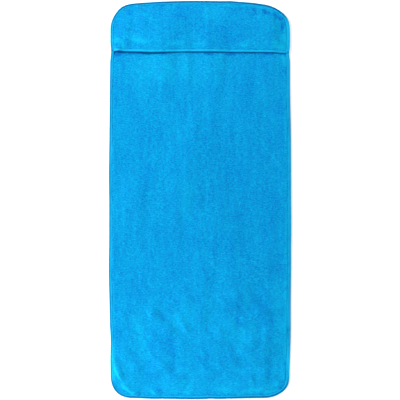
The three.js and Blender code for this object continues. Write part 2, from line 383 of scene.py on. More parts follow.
def pucker_line(x, y):
    """A pucker's line, from the nearest place on the edge inwards."""
    nearest = np.argmin(np.hypot(*(rim.points - [x, y]).T))
    place, outward = rim.points[nearest], rim.normals[nearest]
    return *(place - PUCKER_FROM * outward), *(place - PUCKER_TO * outward)


pucker_lines = [(pucker_line(x, y), peak) for x, y, peak in PUCKERS]


def waves(kind, u, v):
    noise, height, u_length, v_length = kind
    return height * noise(u / u_length, v / v_length)


def around(x, y, spot):
    """1 at a spot, fading out round it. A spot is (x, y, reach across, reach along)."""
    return bump(x, spot[0], spot[2]) * bump(y, spot[1], spot[3])


STANDING = 1.6  # how far the underside stands off the floor on average
HEAD_RIGHT = 235, 600, 48, 40
# Rolls inside the foot's corners: spot, height, inset, half-width.
FOOT_ROLLS = [((-262, -560, 40, 90), 2.4, 34, 17), ((255, -560, 45, 80), 1.2, 2, 15)]


def ground(x, y):
    """How far the towel's underside stands off the floor."""
    along, inset = rim_coordinates(x, y)
    near_mouth = ease(mouth_y - 150, mouth_y - 20, y)
    near_foot = ease(-180, -330, y)
    height = STANDING + waves(BROAD_WAVES, x, y) + waves(MIDDLING_WAVES, x, y)
    height += near_mouth * waves(MOUTH_FOLDS, x, y)
    height += (1 - near_mouth) * waves(STREAKS, x, y)
    height += near_foot * waves(BROAD_DIAGONALS, 0.6 * x + 0.8 * y, 0.8 * x - 0.6 * y)
    elsewhere = 50 * FINE_DIAGONALS[3]  # in another part of the same noise
    u, v = 0.55 * x + 0.83 * y, 0.83 * x - 0.55 * y + elsewhere
    height += near_foot * waves(FINE_DIAGONALS, u, v)
    height *= ease(0, 90, inset)
    for *line, peak, half_width in RIDGES:
        height += ridge(x, y, line, peak, half_width)
    for *line, peak in CREASES:
        height += crease(x, y, line, peak)
    for line, peak in pucker_lines:
        height += ridge(x, y, line, peak, PUCKER_HALF_WIDTH)
    # Ripples along the edge, pleats at the corners, and the seam's pull at three of them.
    beside_edge = ease(2, 16, inset) * np.exp(-np.maximum(inset - 16, 0) / 24)
    gate = 0.7 + 0.5 * np.clip(ripple_gate.lap(along, PERIMETER), -1, 2)
    height += beside_edge * RIPPLE_HEIGHT * gate * ripple_noise.lap(along, PERIMETER, inset / 60)
    at_corner = ease(95, 30, np.abs(along - corner_place(x, y)))
    height += beside_edge * CORNER_PLEAT_HEIGHT * at_corner * pleat_noise.lap(along, PERIMETER, inset / 40)
    pulled = PULLED_PLEAT_HEIGHT * around(x, y, HEAD_RIGHT)
    height += beside_edge * pulled * pleat_noise(along / PERIMETER * PLEATS + 40, inset / 30)
    for spot, peak, place, half_width in FOOT_ROLLS:
        height += peak * around(x, y, spot) * bump(inset, place, half_width)
    # What would reach through the floor is eased up to lie on it.
    return 0.5 * (height + np.sqrt(height**2 + 1.0))


def corner_place(x, y):
    """Where along the edge the nearest corner is."""
    radius = corner_radius(y)
    place = LENGTH / 2 - radius + radius * math.pi / 4
    place = np.where(x > 0, place, quarter(y) * 2 - place)
    return np.where(y > 0, place, -place)


lift_noise = Noise(31)
mouth_wave = Noise(32)
MOUTH_GAPS = [(-266, 9.0, 13), (202, 3.0, 15), (268, 1.2, 12)]  # where the mouth gapes, how high, half-width


def lift(x, y):
    """How far the pocket's front is raised off the towel."""
    _, inset = rim_coordinates(x, y)
    from_mouth = np.maximum(y - mouth_line(x), 0)
    rise = ease(RISE_FROM, RISE_TO, inset)
    height = POCKET_RISE * rise * (1 + 0.16 * lift_noise(x / 44, y / 40))
    sagging = np.exp(-from_mouth / 45)
    height += rise * sagging * (1.5 * mouth_wave(x / 25) - 1.6)
    gaps = sum(peak * bump(x, place, half_width) for place, peak, half_width in MOUTH_GAPS)
    height += gaps * np.exp(-from_mouth / 22) * ease(6, 18, inset)
    return np.maximum(height, 0)


# ---- Towelling ----
tuft_fine = Noise(41, 256, 256)
tuft_coarse = Noise(42, 256, 256)


def tufts(x, y, turned=0.0):
    """The clumps of loops that stand up from the towelling."""
    u, v = x + 0.35 * y, y - 0.35 * x
    fine = 0.13 * tuft_fine(u / 5.6 + turned, v / 4.6)
    coarse = 0.05 * tuft_coarse(x / 9.5 + turned, y / 12)
    return fine + coarse


def linked(name, data):
    """A new object in the scene."""
    made = bpy.data.objects.new(name, data)
    bpy.context.scene.collection.objects.link(made)
    return made


def mesh_object(name, vertices_mm, quads, material):
    mesh = bpy.data.meshes.new(name)
    mesh.vertices.add(len(vertices_mm))
    mesh.vertices.foreach_set("co", (vertices_mm * MM).astype(np.float32).ravel())
    mesh.loops.add(4 * len(quads))
    mesh.loops.foreach_set("vertex_index", quads.astype(np.int32).ravel())
    mesh.polygons.add(len(quads))
    mesh.polygons.foreach_set("loop_start", np.arange(0, 4 * len(quads), 4, dtype=np.int32))
    mesh.polygons.foreach_set("use_smooth", np.ones(len(quads), bool))
    mesh.update(calc_edges=True)
    mesh.materials.append(material)
    return linked(name, mesh)


def keep(made, key, values):
    """Store a number for each vertex on a mesh."""
    attribute = made.data.attributes.new(key, "FLOAT", "POINT")
    attribute.data.foreach_set("value", np.ravel(values).astype(np.float32))


def spans_between(stops):
    """The distances along the rim from each stop to the next."""
    return [(b - a) % rim.length for a, b in zip(stops, stops[1:])]


def numbers(shape, first=0):
    """Vertex numbers for a grid of points."""
    return first + np.arange(shape[0] * shape[1]).reshape(shape[:2])


def strip(a, b):
    """Quads between two rows of vertices, anticlockwise where b is to the left of a."""
    return np.stack([a[:-1], a[1:], b[1:], b[:-1]], -1)


def grid_quads(ids):
    """Quads of a grid of vertices, numbered by place across and place up."""
    corners = [ids[:-1, :-1], ids[1:, :-1], ids[1:, 1:], ids[:-1, 1:]]
    return np.stack(corners, -1).reshape(-1, 4)


def coons(bottom, right, top, left, u, v):
    """The surface between four boundary curves, at shares u across and v up."""
    u, v = u[:, None, None], v[None, :, None]
    ruled_up = mix(bottom[:, None], top[:, None], v)
    ruled_across = mix(left[None], right[None], u)
    flat = mix(mix(bottom[0], bottom[-1], u), mix(top[0], top[-1], u), v)
    return ruled_up + ruled_across - flat


# Insets of the rings of points along the edge, and the distances from the mouth of the rows beside it.
RINGS = np.array([CUT_EDGE, 3, 5.2, 7.2, 8.8, 9.8, 10.6, 11.6, 13, 15, 17.8, 21.5])
ROWS_AT_MOUTH = np.array([0, 1.8, 3.6, 5.2, 6.6, 7.8, 9.0, 10.6, 12.8, 15.8, 19.6])
CELL = 4.35  # the spacing of the points inside them
DEEP = 100  # an inset beyond which it makes no difference
FREE_FROM, FREE_AT = 8.5, 17.0  # the insets where the pile starts to rise beside the tape, and is full
POCKET_FREE_AT = 15
EASE_FROM, POCKET_EASE = 9.0, 56  # the insets between which the pocket's two layers get their full pile


def inset_of(points):
    """How far points inside the rings are from the edge."""
    _, rough = rim_coordinates(*points.T)
    near = np.flatnonzero(rough < POCKET_EASE + 20)
    insets = np.full(len(points), float(DEEP))
    for batch in np.array_split(near, 1 + len(near) // 1000):
        gap = points[batch, None] - rim.points
        insets[batch] = np.sqrt((gap**2).sum(-1).min(1))
    return insets


def panel(rings, ring_ids, inner, inner_ids):
    """(points, insets, quads) of rings along the edge and a grid inside them."""
    inner = inner.reshape(-1, 2)
    points = np.concatenate([rings.reshape(-1, 2), inner])
    insets = np.concatenate([np.repeat(RINGS, rings.shape[1]), inset_of(inner)])
    strips = [strip(outer, following) for outer, following in zip(ring_ids, ring_ids[1:])]
    return points, insets, np.concatenate([*strips, grid_quads(inner_ids)])


def towel_layer():
    """(points, insets, quads, outer loop) of the towel's panel."""
    stops = [rim.facing(angle) for angle in (-135, -45, 45, 135, -135)]
    spans = spans_between(stops)
    across = round((spans[0] - 2 * RINGS[-1]) / CELL)
    up = round(spans[1] / CELL)
    counts = [across, up, across, up]
    stations = [a + np.arange(n) * span / n for a, span, n in zip(stops, spans, counts)]
    stations = np.concatenate(stations)
    rings = rim.offset(stations[None], RINGS[:, None])
    last = np.concatenate([rings[-1], rings[-1][:1]])
    turns = np.cumsum([0] + counts)
    bottom, right, top, left = [last[a : b + 1] for a, b in zip(turns, turns[1:])]
    u, v = np.linspace(0, 1, across + 1), np.linspace(0, 1, up + 1)
    inner = coons(bottom, right, top[::-1], left[::-1], u, v)[1:-1, 1:-1]
    ring_ids = numbers(rings.shape)
    closed = np.concatenate([ring_ids, ring_ids[:, :1]], 1)
    ids = np.zeros((across + 1, up + 1), int)
    ids[1:-1, 1:-1] = numbers(inner.shape, ring_ids.size)
    edge = closed[-1]
    ids[:, 0], ids[-1, :] = edge[turns[0] : turns[1] + 1], edge[turns[1] : turns[2] + 1]
    ids[::-1, -1], ids[0, ::-1] = edge[turns[2] : turns[3] + 1], edge[turns[3] : turns[4] + 1]
    return *panel(rings, closed, inner, ids), ring_ids[0]


def pocket_layer():
    """The same for the pocket's front, whose rings stop at its mouth."""
    stops = [mouth_end(1), rim.facing(45), rim.facing(135), mouth_end(-1)]
    spans = spans_between(stops)
    across = round((spans[1] - 2 * RINGS[-1]) / CELL)
    rest = round((spans[0] - ROWS_AT_MOUTH[-1]) / CELL)
    rows = np.concatenate([ROWS_AT_MOUTH, np.linspace(ROWS_AT_MOUTH[-1], spans[0], rest + 1)[1:]])
    share = rows / rows[-1]
    up = len(rows) - 1
    right_side = stops[0] + share * spans[0]
    head = stops[1] + np.arange(1, across) * spans[1] / across
    left_side = stops[3] - share[::-1] * spans[2]
    stations = np.concatenate([right_side, head, left_side])
    rings = rim.offset(stations[None], RINGS[:, None])
    # The rings' ends are moved along the sides to lie on the mouth's line.
    hold = np.zeros(len(stations))
    hold[: up + 1] = (1 - share) ** 4
    for end, fade in ((0, hold), (-1, hold[::-1])):
        away = mouth_line(rings[:, end, 0]) + CUT_EDGE - rings[:, end, 1]
        rings[:, :, 1] += away[:, None] * fade
    last = rings[-1]
    right, top, left = last[: up + 1], last[up : up + across + 1], last[up + across :]
    u = np.linspace(0, 1, across + 1)
    x = mix(left[-1, 0], right[0, 0], u)
    bottom = np.stack([x, mouth_line(x) + CUT_EDGE], -1)
    bottom[0], bottom[-1] = left[-1], right[0]
    inner = coons(bottom, right, top[::-1], left[::-1], u, share)[1:-1, :-1]
    ring_ids = numbers(rings.shape)
    ids = np.zeros((across + 1, up + 1), int)
    ids[1:-1, :-1] = numbers(inner.shape, ring_ids.size)
    edge = ring_ids[-1]
    ids[-1, :] = edge[: up + 1]
    ids[::-1, -1] = edge[up : up + across + 1]
    ids[0, ::-1] = edge[up + across :]
    along_mouth = [ring_ids[1:, -1], ids[1:-1, 0], ring_ids[:0:-1, 0]]
    return *panel(rings, ring_ids, inner, ids), np.concatenate([ring_ids[0], *along_mouth])


def closed_cloth(name, points, quads, loop, top, bottom, material):
    """A cloth with a face, a back, and a cut edge that joins them. The mesh keeps its face's random nap tone
    with painted highlights and painted shade.
    """
    count = len(points)
    vertices = np.concatenate([np.column_stack([points, top]), np.column_stack([points, bottom])])
    following = np.roll(loop, -1)
    edge = np.stack([loop + count, following + count, following, loop], -1)
    faces = np.concatenate([quads, quads[:, ::-1] + count, edge])
    made = mesh_object(name, vertices, faces, material)
    # Stores the random nap tone with painted highlights and painted shade, for the terry's colour.
    keep(made, "nap_and_painted_light", np.concatenate([nap_and_painted_light(*points.T), np.zeros(count)]))
    return made


def fullness(inset, pocket_share):
    """0 where the tape grips the towelling, 1 where its pile stands free: further in at the pocket."""
    single = ease(FREE_FROM, FREE_AT, inset)
    return mix(single, ease(EASE_FROM, POCKET_EASE, inset), pocket_share)


BACK_PILE = 0.6  # the back's tufts, as a share of the face's
LABEL_BED = 0.9  # how deep the label's bed in the back is


def towel_cloth(material):
    points, insets, quads, loop = towel_layer()
    x, y = points.T
    full = fullness(insets, ease(mouth_y - 25, mouth_y + 5, y))
    base = ground(x, y)
    middle = mix(RIM_MIDDLE, pile_height / 2, full)
    half = mix(GRIPPED, pile_height, full) / 2
    top = base + middle + half + full * tufts(x, y)
    # The back's pile is flattened where it lies on the floor, and more so under the label.
    bed = ease(label_left - 9, label_left - 3, x) * ease(label_right + 7, label_right + 1, x)
    bed *= ease(label_low - 7, label_low - 1, y) * ease(label_high + 7, label_high + 1, y)
    bottom = base + middle - half - full * (1 - bed) * BACK_PILE * tufts(-x, y, 60) + LABEL_BED * bed
    return closed_cloth("towel_cloth", points, quads, loop, top, np.maximum(bottom, 0), material)


def pocket_middle(x, y, inset):
    return ground(x, y) + lift(x, y) + mix(POCKET_RIM_MIDDLE, POCKET_MIDDLE, fullness(inset, 1))


def pocket_cloth(material):
    points, insets, quads, loop = pocket_layer()
    x, y = points.T
    from_mouth = y - mouth_line(x)
    off_mouth_tape = ease(MOUTH_TAPE_WIDTH - 1.2, MOUTH_TAPE_WIDTH + 3.5, from_mouth)
    full = fullness(insets, 1) * off_mouth_tape
    free = ease(FREE_FROM, POCKET_FREE_AT, insets) * off_mouth_tape
    middle = pocket_middle(x, y, insets)
    puff = full * (0.12 * bump(insets, 14, 4) + 0.35 * bump(from_mouth, MOUTH_TAPE_WIDTH + 6, 5))
    top = middle + mix(GRIPPED, pile_height, free) / 2 + puff + free * tufts(x, y, 30)
    bottom = middle - mix(GRIPPED, pile_height, full) / 2 - puff - full * BACK_PILE * tufts(-x, y, 90)
    return closed_cloth("pocket_cloth", points, quads, loop, top, bottom, material)


# ---- Binding tapes ----
def fold(reach, bead, flange_steps=6, turn_steps=7):
    """A folded tape's section, from its upper inner edge round the fold to its lower one: (the points'
    insets, their heights as shares of the half thickness)."""
    flange = np.linspace(reach, bead, flange_steps, endpoint=False)
    turn = np.linspace(math.pi / 2, -math.pi / 2, turn_steps)
    inset = np.concatenate([flange, bead * (1 - np.cos(turn)), flange[::-1]])
    height = np.concatenate([np.ones(flange_steps), np.sin(turn), -np.ones(flange_steps)])
    return inset, height


def facing_out(vertices, quads):
    """The quads, turned over if they face inwards."""
    a, b, c, d = (vertices[quads[:, k]] for k in range(4))
    volume = (a * (np.cross(b, c) + np.cross(c, d))).sum() / 6
    return quads if volume > 0 else quads[:, ::-1]


def taped(name, outside, inside, along, painted_shade, section, closed, material):
    """A tape between its outside and its inside, each (stations, section points, 3). The mesh keeps where on
    the tape each point is, for its weave, and how much painted shade it gets."""
    rows = np.concatenate([outside, inside[:, ::-1]], 1)
    inset, share = section
    across = np.concatenate([[0], np.cumsum(np.hypot(np.diff(inset), 1.6 * np.diff(share)))])
    across = np.tile(np.concatenate([across, across[::-1]]), (len(rows), 1))
    painted_shade = np.concatenate([painted_shade, painted_shade[:, ::-1]], 1)
    along = np.broadcast_to(along[:, None], across.shape)
    ids = numbers(rows.shape)
    ring = np.concatenate([ids, ids[:, :1]], 1)
    ring = np.concatenate([ring, ring[:1]]) if closed else ring
    quads = [grid_quads(ring)]
    if not closed:
        half = rows.shape[1] // 2
        for end, turned in ((0, True), (-1, False)):
            cap = strip(ids[end, :half], ids[end, : half - 1 : -1])
            quads.append(cap[:, ::-1] if turned else cap)
    vertices = rows.reshape(-1, 3)
    made = mesh_object(name, vertices, facing_out(vertices, np.concatenate(quads)), material)
    keep(made, "along", along * MM)
    keep(made, "across", across * MM)
    keep(made, "painted_shade", painted_shade)
    return made


BEAD, MOUTH_BEAD = 2.3, 2.0  # insets at which the tapes' round folds end
FOLD_LINE = 3.6, 4.7  # inset of the painted shade line along the edge tape's fold, on the sides and on the ends
FOLD_LINE_WIDTH = 2.8
# centre and spread of the painted shade along the mouth tape's fold, which darkens the shadow line under the
# mouth
MOUTH_FOLD_LINE = -0.4, 2.5
pucker_noise = Noise(51, columns=512, rows=16)
reach_noise = Noise(52, columns=128, rows=4)
flare_noise = Noise(53, columns=256, rows=4)


def edge_tape_height(s, inset, share):
    """How far above the towel's underside the edge tape's outside is, at a share of its half thickness."""
    (_, y), _ = [part.T for part in rim.at(s)]
    pocket = ease(mouth_y - 10, mouth_y + 2, y)
    top = mix(BODY_TAPE_TOP, POCKET_TAPE_TOP, pocket)
    middle, half = (top + tape_low) / 2, (top - tape_low) / 2
    plump = 0.3 * bump(inset, 2.0, 1.3) - 0.3 * bump(inset, 3.9, 1.0)
    plump -= 0.22 * bump(inset, SEAM_INSET, 0.9)
    plump += 0.15 * ease(8.2, 10.2, inset) * (0.6 + 0.5 * flare_noise.lap(s, rim.length))
    pucker = pucker_noise.lap(s, rim.length, inset / 9)
    plump += 0.2 * ease(1.5, 6, inset) * np.where(share > 0, pucker, -pucker)
    return middle + share * half + np.sign(share) * plump * np.abs(share)


def painted_fold_shade(s):
    """Painted shade on the edge tape: (how much painted shade lies in a line along its fold, how far in that
    line lies, how much painted shade lies all over it on the right side)."""
    x, y = rim.at(s)[0].T
    # Painted shade: a line along the fold, weaker on the sides and weakest on the right, full at the ends.
    on_right = ease(150, 285, x)
    at_end = ease(560, 625, np.abs(y))
    fold_line_shade = mix(mix(0.62, 0.12, on_right), 1.0, at_end)
    # Painted shade over the right side's tape, fading out towards the ends.
    right_side_shade = 0.24 * on_right * ease(540, 440, np.abs(y))
    return fold_line_shade, mix(*FOLD_LINE, at_end), right_side_shade


def edge_binding(material):
    inset, share = fold(TAPE_REACH, BEAD)
    s = np.arange(0, rim.length - 1, 2.25)
    reach = 0.35 * reach_noise.lap(s, rim.length)
    grid_s = s[:, None] + 0 * inset
    out_inset = inset + ease(4, TAPE_REACH, inset) * reach[:, None]
    in_inset = np.maximum(out_inset, 0) + TAPE * (1 - ease(0, BEAD, inset))
    sides = []
    for place, shrink in ((out_inset, 0.0), (in_inset, TAPE)):
        x, y = np.moveaxis(rim.offset(grid_s.ravel(), place.ravel()).reshape(*grid_s.shape, 2), -1, 0)
        height = edge_tape_height(grid_s.ravel(), out_inset.ravel(), np.tile(share, len(s)))
        height = height.reshape(grid_s.shape) - shrink * share
        sides.append(np.stack([x, y, np.maximum(ground(x, y) + height, 0.02)], -1))
    # The tape's colour gets painted shade along its fold, and over the right side.
    fold_line_shade, line, right_side_shade = (part[:, None] for part in painted_fold_shade(s))
    painted_shade = fold_line_shade * bump(inset, line, FOLD_LINE_WIDTH) + right_side_shade
    return taped("edge_binding", *sides, s, painted_shade, (inset, share), True, material)


mouth_ends = [float(rim.at(mouth_end(side))[0][0]) for side in (-1, 1)]
mouth_pucker = Noise(54, columns=128, rows=16)


def mouth_tape_point(x, from_mouth, share, shrink=0.0):
    """A point on the mouth tape: its outside, or its inside where shrink is the tape's thickness."""
    inset = np.minimum(x - mouth_ends[0], mouth_ends[1] - x)
    squeeze = mix(0.62, 1.0, ease(8, 15, inset))
    half = GRIPPED / 2 + TAPE + 0.3 * bump(from_mouth, 2, 1.6) - 0.25 * bump(from_mouth, MOUTH_SEAM, 0.9)
    pucker = mouth_pucker(x / 6.5, from_mouth / 9 + 2 * np.sign(share))
    half = half + 0.22 * pucker * ease(1, 5, from_mouth)
    y = mouth_line(x) + from_mouth
    z = pocket_middle(x, y, inset) + share * squeeze * (half - shrink)
    return np.stack([x, y, z], -1)


def mouth_binding(material):
    section = fold(MOUTH_TAPE_WIDTH, MOUTH_BEAD, 5)
    share = section[1]
    x = np.linspace(mouth_ends[0] + 6.5, mouth_ends[1] - 6.5, 270)  # its ends are under the edge tape
    x, from_mouth = x[:, None] + 0 * share, section[0] + 0 * x[:, None]
    inner = from_mouth + TAPE * (1 - ease(0, MOUTH_BEAD, from_mouth))
    outside = mouth_tape_point(x, from_mouth, share)
    inside = mouth_tape_point(x, inner, share, TAPE)
    # Painted shade along the mouth tape's fold.
    painted_shade = bump(from_mouth, *MOUTH_FOLD_LINE)
    return taped("mouth_binding", outside, inside, x[:, 0], painted_shade, section, False, material)


# ---- Stitches ----
SIDES = 6
STITCH_RINGS = [(-1, 0.45), (-0.72, 0.9), (0, 1), (0.72, 0.9), (1, 0.45)]  # place, share of the radius
STITCH_DIP = 0.34


def stitches(name, starts, ends, radius, dip, material):
    """Threads that rise out of the cloth at each start and go back into it at each end."""
    centres, reach = (starts + ends) / 2, (ends - starts) / 2
    aside = np.cross(reach, [0, 0, 1.0])
    aside /= np.linalg.norm(aside, axis=1, keepdims=True)
    up = np.cross(aside, reach)
    up /= np.linalg.norm(up, axis=1, keepdims=True)
    rings = []
    for place, share in STITCH_RINGS:
        for angle in np.arange(SIDES) * 2 * math.pi / SIDES:
            round_it = radius * share * (math.cos(angle) * aside + math.sin(angle) * up)
            rings.append(centres + place * reach + round_it + [0, 0, dip * place**2])
    vertices = np.stack(rings, 1)
    ids = numbers((len(STITCH_RINGS), SIDES))
    quads = grid_quads(np.concatenate([ids, ids[:, :1]], 1))
    first, last = ids[0], ids[-1]
    caps = [first[[3, 2, 1, 0]], first[[5, 4, 3, 0]], last[[0, 1, 2, 3]], last[[0, 3, 4, 5]]]
    quads = facing_out(vertices[0], np.concatenate([quads, caps]))
    quads = (quads[None] + ids.size * np.arange(len(vertices))[:, None, None]).reshape(-1, 4)
    return mesh_object(name, vertices.reshape(-1, 3), quads, material)


def on_edge_seam(s, wander, side):
    inset = SEAM_INSET + wander + 0.25 * reach_noise.lap(s, rim.length)
    x, y = rim.offset(s, inset).T
    z = ground(x, y) + edge_tape_height(s, inset, np.full(len(s), float(side)))
    return np.stack([x, y, np.maximum(z + side * 0.5 * THREAD_RADIUS, 0.12)], -1)


def on_mouth_seam(x, wander, side):
    points = mouth_tape_point(x, MOUTH_SEAM + wander, float(side))
    points[:, 2] += side * 0.5 * THREAD_RADIUS
    return points


def seam(name, place, low, high, spread, side, dip, seed, material):
    """A seam's stitches from low to high, on the tape's face (side 1) or its back (side -1)."""
    draw = np.random.default_rng(seed)
    count = int((high - low) / STITCH_PITCH)
    middle = low + (np.arange(count) + 0.5) * (high - low) / count
    ends = []
    for step in (-STITCH_HALF, STITCH_HALF):
        ends.append(place(middle + step * STITCH_PITCH, draw.normal(0, spread, count), side))
    return stitches(name, *ends, THREAD_RADIUS, -side * dip, material)


def edge_stitches(name, side, seed, material):
    dip = STITCH_DIP if side > 0 else 0.3 * STITCH_DIP
    return seam(name, on_edge_seam, 0, rim.length, 0.09, side, dip, seed, material)


def mouth_stitches(name, side, seed, material):
    low, high = mouth_ends[0] + 11, mouth_ends[1] - 11
    return seam(name, on_mouth_seam, low, high, 0.08, side, STITCH_DIP, seed, material)


BARTACK_LENGTH, BARTACK_WIDTH = 7.0, 3.0
BARTACK_INSET, BARTACK_ABOVE = 5.2, 4.0
BARTACK_CROSSINGS, BARTACK_LEAN = 13, 0.28
BARTACK_THREAD, BARTACK_DIP = 0.26, 0.4


def bartack(name, side, material):
    """A bar of tight zigzag over two laid threads, at an end of the pocket's mouth."""
    end = mouth_end(side)
    edge_x, edge_y = rim.at(np.array([end]))[0][0]
    middle = rim.offset(np.array([end + side * BARTACK_ABOVE]), np.array([BARTACK_INSET]))[0]
    across = np.linspace(-0.5, 0.5, BARTACK_CROSSINGS) * BARTACK_LENGTH
    lean = BARTACK_LEAN * (-1.0) ** np.arange(BARTACK_CROSSINGS)
    raised = np.repeat([0.42, 0.12], [BARTACK_CROSSINGS, 2])
    ends = []
    for sign in (-1, 1):
        edge = np.full(BARTACK_CROSSINGS, sign * BARTACK_WIDTH / 2)
        zigzag = np.column_stack([across + sign * lean, edge])
        laid = [(sign * BARTACK_LENGTH / 2, y) for y in (-0.6, 0.6)]
        points = middle + np.concatenate([zigzag, laid])
        inset = abs(edge_x) - np.abs(points[:, 0])
        s = end + side * (points[:, 1] - edge_y)
        z = ground(*points.T) + edge_tape_height(s, inset, np.ones(len(points))) + raised
        ends.append(np.column_stack([points, z]))
    return stitches(name, *ends, BARTACK_THREAD, -BARTACK_DIP, material)


# ---- Care label ----
LABEL_HELD = 3  # how far the edge tape holds it
LABEL_CLEAR, LABEL_THICKNESS = 0.12, 0.25


def care_label(material):
    """A blank ribbon, held by the edge tape at its left end."""
    across, up = 31, 21
    columns = np.linspace(label_left - LABEL_HELD, label_right, across)
    x, y = np.meshgrid(columns, np.linspace(label_low, label_high, up), indexing="ij")
    waviness = waves(LABEL_WAVES, x, y)
    bottom = np.maximum(ground(x, y) + label_bottom + LABEL_CLEAR + waviness, 0.05).ravel()
    ids = numbers((across, up))
    loop = np.concatenate([ids[:-1, 0], ids[-1, :-1], ids[:0:-1, -1], ids[0, :0:-1]])
    points = np.stack([x.ravel(), y.ravel()], -1)
    top = bottom + LABEL_THICKNESS
    return closed_cloth("care_label_ribbon", points, grid_quads(ids), loop, top, bottom, material)


# ---- Materials ----
class Shader:
    """A material's node tree, with the calls that its recipes share."""

    def __init__(self, name, roughness, specular, sheen=0.0, sheen_roughness=0.5, sheen_tint=(1, 1, 1, 1)):
        self.material = bpy.data.materials.new(name)
        self.material.use_nodes = True
        self.tree = self.material.node_tree
        self.surface = self.tree.nodes["Principled BSDF"]
        self.set("Roughness", roughness)
        self.set("Specular IOR Level", specular)
        self.set("Sheen Weight", sheen)
        self.set("Sheen Roughness", sheen_roughness)
        self.set("Sheen Tint", sheen_tint)

    def set(self, key, value):
        self.surface.inputs[key].default_value = value

    def node(self, kind, inputs=(), **settings):
        made = self.tree.nodes.new("ShaderNode" + kind)
        for key, value in settings.items():
            setattr(made, key, value)
        for key, value in dict(inputs).items():
            if isinstance(value, bpy.types.NodeSocket):
                self.tree.links.new(value, made.inputs[key])
            else:
                made.inputs[key].default_value = value
        return made

    def place(self, per_metre):
        """The row's own coordinates, with so many units to a metre on each axis."""
        here = self.node("TexCoord").outputs["Object"]
        return self.node("Mapping", {"Vector": here, "Scale": per_metre}).outputs["Vector"]

    def noise(self, per_metre, detail, roughness=0.5, distortion=0.0):
        inputs = {"Vector": self.place(per_metre), "Scale": 1.0, "Detail": detail, "Roughness": roughness}
        return self.node("TexNoise", {**inputs, "Distortion": distortion}).outputs["Fac"]

    def math(self, operation, a, b=0.0, c=0.0):
        return self.node("Math", {0: a, 1: b, 2: c}, operation=operation).outputs[0]

    def ramp(self, value, low, high, bottom, top):
        """value, brought from low..high to bottom..top and held there."""
        inputs = {"Value": value, "From Min": low, "From Max": high, "To Min": bottom, "To Max": top}
        return self.node("MapRange", inputs).outputs["Result"]

    def varied(self, share, *noises):
        """share, made more or less by noises, each with how much."""
        for value, spread in noises:
            share = self.math("MULTIPLY", share, self.ramp(value, 0.3, 0.7, 1 - spread, 1 + spread))
        return share

    def attribute(self, name):
        return self.node("Attribute", attribute_name=name).outputs["Fac"]

    def shade(self, deep, pale, tone):
        """From one colour where tone is 0 to the other where it is 1."""
        mixed = self.node("Mix", data_type="RGBA")
        factor, start, end = mixed.inputs[0], mixed.inputs[6], mixed.inputs[7]
        self.tree.links.new(tone, factor)
        start.default_value, end.default_value = (*deep, 1), (*pale, 1)
        self.tree.links.new(mixed.outputs[2], self.surface.inputs["Base Color"])

    def emboss(self, height, distance, strength=1.0):
        inputs = {"Height": height, "Distance": distance, "Strength": strength}
        normal = self.node("Bump", inputs).outputs["Normal"]
        self.tree.links.new(normal, self.surface.inputs["Normal"])


DEEP_TERRY, PALE_TERRY = (0.0010, 0.119, 0.485), (0.0028, 0.361, 0.690)
PAINTED_LIGHT_SHARE = 0.36  # how much of the way from one colour to the other a painted mark of strength 1 goes
DEEP_TAPE, PALE_TAPE = (0.0006, 0.068, 0.290), (0.0030, 0.440, 0.850)
DEEP_THREAD, PALE_THREAD = (0.0016, 0.147, 0.37), (0.0026, 0.265, 0.56)
DEEP_SATIN, PALE_SATIN = (0.73, 0.73, 0.70), (0.87, 0.87, 0.84)
DEEP_FLOOR, PALE_FLOOR, FLOOR_GLOW = (0.86, 0.86, 0.86), (0.9, 0.9, 0.9), 0.4
BLUE_SHEEN = (0.02, 0.65, 1.0, 1)


def terry(name, turned):
    """Looped pile: rows of small loops, gathered in clumps, with soft streaks where the rows lean."""
    made = Shader(name, 0.95, 0.02, sheen=0.25, sheen_roughness=0.6, sheen_tint=BLUE_SHEEN)
    inputs = {"Vector": made.place((560, 430 + turned, 430)), "Scale": 1.0, "Randomness": 0.8}
    loops = made.node("TexVoronoi", inputs, feature="SMOOTH_F1").outputs["Distance"]
    loop_height = made.ramp(loops, 0.05, 0.75, 1.0, 0.0)
    clumps = made.noise((135 + turned, 370, 200), 2.0, 0.6, 0.3)
    grains = made.noise((190, 470 + turned, 300), 1.0, 0.5, 0.3)
    patches = made.noise((16, 12 + turned, 12), 2.0)
    streaks = made.noise((70 + turned, 7, 7), 1.0)
    share = made.ramp(loop_height, 0.0, 1.0, 0.86, 1.08)
    share = made.varied(share, (clumps, 0.31), (grains, 0.31), (patches, 0.04), (streaks, 0.06))
    # The tone takes the painted highlights and painted shade stored on the mesh.
    tone = made.math("MULTIPLY_ADD", made.attribute("nap_and_painted_light"), PAINTED_LIGHT_SHARE, made.ramp(share, 0.5, 1.5, 0.0, 1.0))
    made.shade(DEEP_TERRY, PALE_TERRY, tone)
    height = made.math("MULTIPLY_ADD", clumps, 1.1, made.math("MULTIPLY_ADD", grains, 0.7, loop_height))
    made.emboss(height, 0.0011, 0.8)
    return made.material


RIB_PITCH, PICK_PITCH = 1.2 * MM, 0.9 * MM


